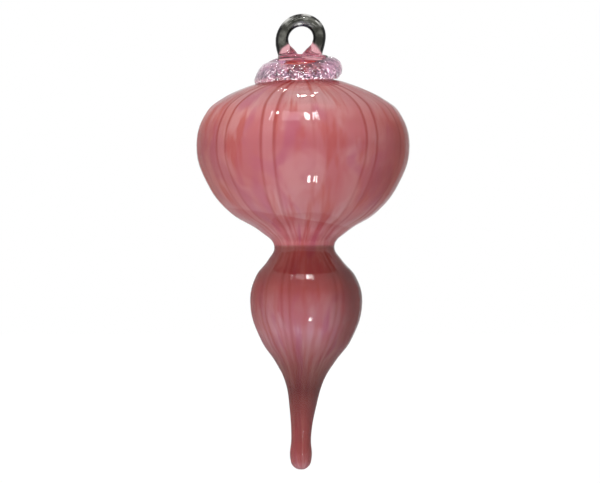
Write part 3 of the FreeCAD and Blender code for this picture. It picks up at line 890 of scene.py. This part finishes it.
# %% Painted shade and highlight in the lower half: dark flecks, and glowing glints, most of them in front
FLECK_SHADE = (0.03, 0.02, 0.03, 1)
PAINTED_GLINT = (1.0, 0.95, 0.97, 1)
NO_GLOW = (0.0, 0.0, 0.0, 1)
LOWER_HALF = (RIM - 4.6 * MM, RIM - 2.8 * MM, 1.0, 0.0)
FLECKS = (0.60, 0.63, 0.0, 1.0)
PAINTED_GLINT_SPOTS = (0.60, 0.64, 0.0, 1.0)
FRONT = (9 * MM, 14 * MM, 1.0, 0.25)
DENTS = 0.4 * MM
low = ease(tree, apart["Z"], *LOWER_HALF)
flecks = noise(tree, place, Scale=620.0, Detail=2.0, Distortion=1.0)
# Painted shade: small dark flecks standing in for the dark spots that the twisted glass bends into view.
colour = blend(tree, times(tree, ease(tree, flecks, *FLECKS), low), colour, FLECK_SHADE)
specks = noise(tree, place, Scale=950.0, Detail=1.0, Distortion=0.6)
aside = maths(tree, "ABSOLUTE", plus(tree, apart["X"], RING_SHIFT))
# Painted highlight: glints that glow by emission in the lower front of the collar.
glint = times(tree, ease(tree, specks, *PAINTED_GLINT_SPOTS), low, ease(tree, aside, *FRONT))
rough = plus(tree, flecks, strands)
bump = add(tree, "ShaderNodeBump", {"Strength": 1.0, "Distance": DENTS, "Height": rough})
fill_inputs(tree.nodes["Principled BSDF"], {
    "Base Color": colour, "Normal": bump.outputs["Normal"], "Emission Strength": 1.0,
    "Emission Color": blend(tree, glint, NO_GLOW, PAINTED_GLINT),
    "Roughness": 0.02, "Transmission Weight": 1.0, "IOR": 1.45})
print("glasses:", ", ".join(material.name for material in (skin, pink, deep, smoke, lilac)))

# %% [markdown]
# ## Which body each piece rides on
# The ornament is one rigid body, so all pieces ride on its root. Three of them take the place of a packed
# node, and the cup is an addition that has no node of its own.

# %% Dress the pieces and let them ride
wearing(blown_body, skin, pink)
wearing(inner_neck, deep)
wearing(hanging_loop, smoke)
wearing(neck_collar, lilac)
for piece, slot in (
    (blown_body, "pink_glass"),
    (inner_neck, "pink_glass"),
    (hanging_loop, "clear_glass"),
    (neck_collar, "clear_glass"),
):
    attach(piece, "root")
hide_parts("blown_body")
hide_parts("hanging_loop")
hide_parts("neck_collar")


# %% [markdown]
# ## White paper and a white room
# The photo is cut out on white. Floor and room are white for everything that the camera sees, directly, in
# a reflection or through glass, and an ordinary pale paper and a dim room for the light that they give.

# %% What is white only to the eye
def background_seen(tree):
    """1 for what is seen directly, in a reflection or through glass, and 0 for light on a surface."""
    path = add(tree, "ShaderNodeLightPath", {}).outputs
    seen = maths(tree, "MAXIMUM", path["Is Camera Ray"], path["Is Glossy Ray"])
    seen = maths(tree, "MAXIMUM", seen, path["Is Transmission Ray"])
    direct = maths(tree, "LESS_THAN", path["Diffuse Depth"], 0.5)
    return times(tree, seen, direct)


# %% Floor and room, in metres
FLOOR_SIZE = 8
FLOOR_BELOW_TIP = 0.06
PAPER = (0.9, 0.9, 0.9, 1)
WHITE = (1.0, 1.0, 1.0, 1)
PAPER_GLOW = 1.1
PAPER_GLOW_SHARE = 0.85
WORLD_LIGHT = 0.57
bpy.ops.object.select_all(action="DESELECT")
bpy.ops.mesh.primitive_plane_add(size=FLOOR_SIZE, location=(0, 0, TIP - FLOOR_BELOW_TIP))
floor = bpy.context.object
floor.name = "floor"
paper, tree = new_material("white_paper")
plain = tree.nodes["Principled BSDF"]
fill_inputs(plain, {"Base Color": PAPER, "Roughness": 0.9})
glow = add(tree, "ShaderNodeEmission", {"Color": WHITE, "Strength": PAPER_GLOW}).outputs[0]
share = times(tree, background_seen(tree), PAPER_GLOW_SHARE)
both = add(tree, "ShaderNodeMixShader", {0: share, 1: plain.outputs[0], 2: glow}).outputs[0]
fill_inputs(tree.nodes["Material Output"], {"Surface": both})
wearing(floor, paper)
floor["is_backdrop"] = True

room = bpy.data.worlds.new("studio")
bpy.context.scene.world = room
room.use_nodes = True
tree = room.node_tree
strength = ease(tree, background_seen(tree), 0.0, 1.0, WORLD_LIGHT, 1.0)
fill_inputs(tree.nodes["Background"], {"Color": WHITE, "Strength": strength})

# %% [markdown]
# ## The camera
# It stands level in front, far off with a long lens, as for a catalogue picture. The top of the hole in the
# eye and the ornament's axis come where they are in the photo, at 0.39 mm for each pixel.

# %% Camera
PHOTO_WIDTH, PHOTO_HEIGHT = 600, 483
AXIS_X, HOLE_TOP_Y = 303.0, 26.5
SCALE = 0.39 * MM
LENS, SENSOR = 200, 36
distance = PHOTO_WIDTH * SCALE * LENS / SENSOR
camera_data = bpy.data.cameras.new("camera")
camera_data.lens, camera_data.sensor_width = LENS, SENSOR
camera = bpy.data.objects.new("camera", camera_data)
bpy.context.scene.collection.objects.link(camera)
camera.location = (
    (PHOTO_WIDTH / 2 - AXIS_X) * SCALE, -distance, (HOLE_TOP_Y - PHOTO_HEIGHT / 2) * SCALE)
camera.rotation_euler = (math.radians(90), 0, 0)
bpy.context.scene.camera = camera
bpy.context.scene.view_settings.view_transform = "Standard"
print("camera", round(distance, 3), "m in front")


# %% [markdown]
# ## Lamps
# One large soft lamp stands in front, left and above. It lights the glass and isn't mirrored in it. What
# the glass mirrors is small and bright: the panes of a window, one of them pale, a lamp and three glints
# near the ceiling, and the edge of a table below. Each is hung where a mirror would need it: a ray from the
# camera through the wanted spot meets the large bulb, and the lamp goes along the mirrored ray.

# %% Helpers that hang a lamp
def add_lamp(name, place, target, width, height, power):
    """A soft rectangular lamp at a place, turned to its target and hidden from the camera."""
    light = bpy.data.lights.new(name, "AREA")
    light.shape = "RECTANGLE"
    light.size, light.size_y = width, height
    light.energy = power
    lamp = bpy.data.objects.new(name, light)
    bpy.context.scene.collection.objects.link(lamp)
    lamp.location = place
    lamp.rotation_mode = "QUATERNION"
    lamp.rotation_quaternion = (Vector(target) - lamp.location).to_track_quat("-Z", "Y")
    lamp.visible_camera = False
    return lamp


def mirror_lamp(name, x, y, away, width, height, brightness):
    """A lamp at this distance that the large bulb mirrors at the spot x, y of the photo, in pixels."""
    seen = Vector((camera.location.x + (x - PHOTO_WIDTH / 2) * SCALE, 0,
                   camera.location.z - (y - PHOTO_HEIGHT / 2) * SCALE))
    look = (seen - camera.location).normalized()
    _, spot, normal, _ = blown_body.ray_cast(camera.location, look)
    # The normal is taken as if the glass were round there, without the slope of a rib's side.
    sideways = Vector((-spot.y, spot.x, 0)).normalized()
    normal = (normal - sideways * normal.dot(sideways)).normalized()
    place = spot + look.reflect(normal) * away
    # A lamp of this shape looks as bright as its power over pi and over its area.
    lamp = add_lamp(name, place, spot, width, height, brightness * math.pi * width * height)
    lamp.visible_diffuse = lamp.visible_transmission = False
    print(name, "at", [round(value, 2) for value in place], "m")


# %% Hang the lamps, in metres and watts
SOFT_PLACE = (-0.32, -0.9, 0.12)
SOFT_TARGET = (0, 0, -0.08)
SOFT_SIDE = 0.8
SOFT_POWER = 7.3
soft = add_lamp("soft_lamp", SOFT_PLACE, SOFT_TARGET, SOFT_SIDE, SOFT_SIDE, SOFT_POWER)
soft.visible_glossy = False
# Where each shows in the photo, in pixels, how far away it hangs, its width and height, and its brightness.
MIRRORED = {
    "bright_pane": (307.2, 116.5, 0.6, 0.048, 0.16, 40.0),
    "right_bar": (316.8, 117.0, 0.6, 0.018, 0.22, 40.0),
    "left_bar": (274.0, 116.0, 0.6, 0.016, 0.18, 60.0),
    "pale_pane": (291.5, 117.0, 0.6, 0.20, 0.19, 3.6),
    "ceiling_lamp": (301.0, 95.0, 0.6, 0.05, 0.012, 300.0),
    "glint_left": (282.0, 92.0, 0.6, 0.02, 0.02, 90.0),
    "glint_middle": (289.0, 89.0, 0.6, 0.02, 0.02, 90.0),
    "glint_right": (314.8, 93.4, 0.6, 0.02, 0.02, 90.0),
    "table_edge": (308.8, 179.0, 0.15, 0.007, 0.012, 60.0),
}
for name, values in MIRRORED.items():
    mirror_lamp(name, *values)

# %% [markdown]
# ## Last, the sizes
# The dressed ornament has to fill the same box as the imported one, so both boxes are written down.

# %% Write the boxes and finish
shown_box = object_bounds()
for name, box in (("packed", cad_box), ("dressed", shown_box)):
    print(name, [[round(value / MM, 2) for value in corner] for corner in box])
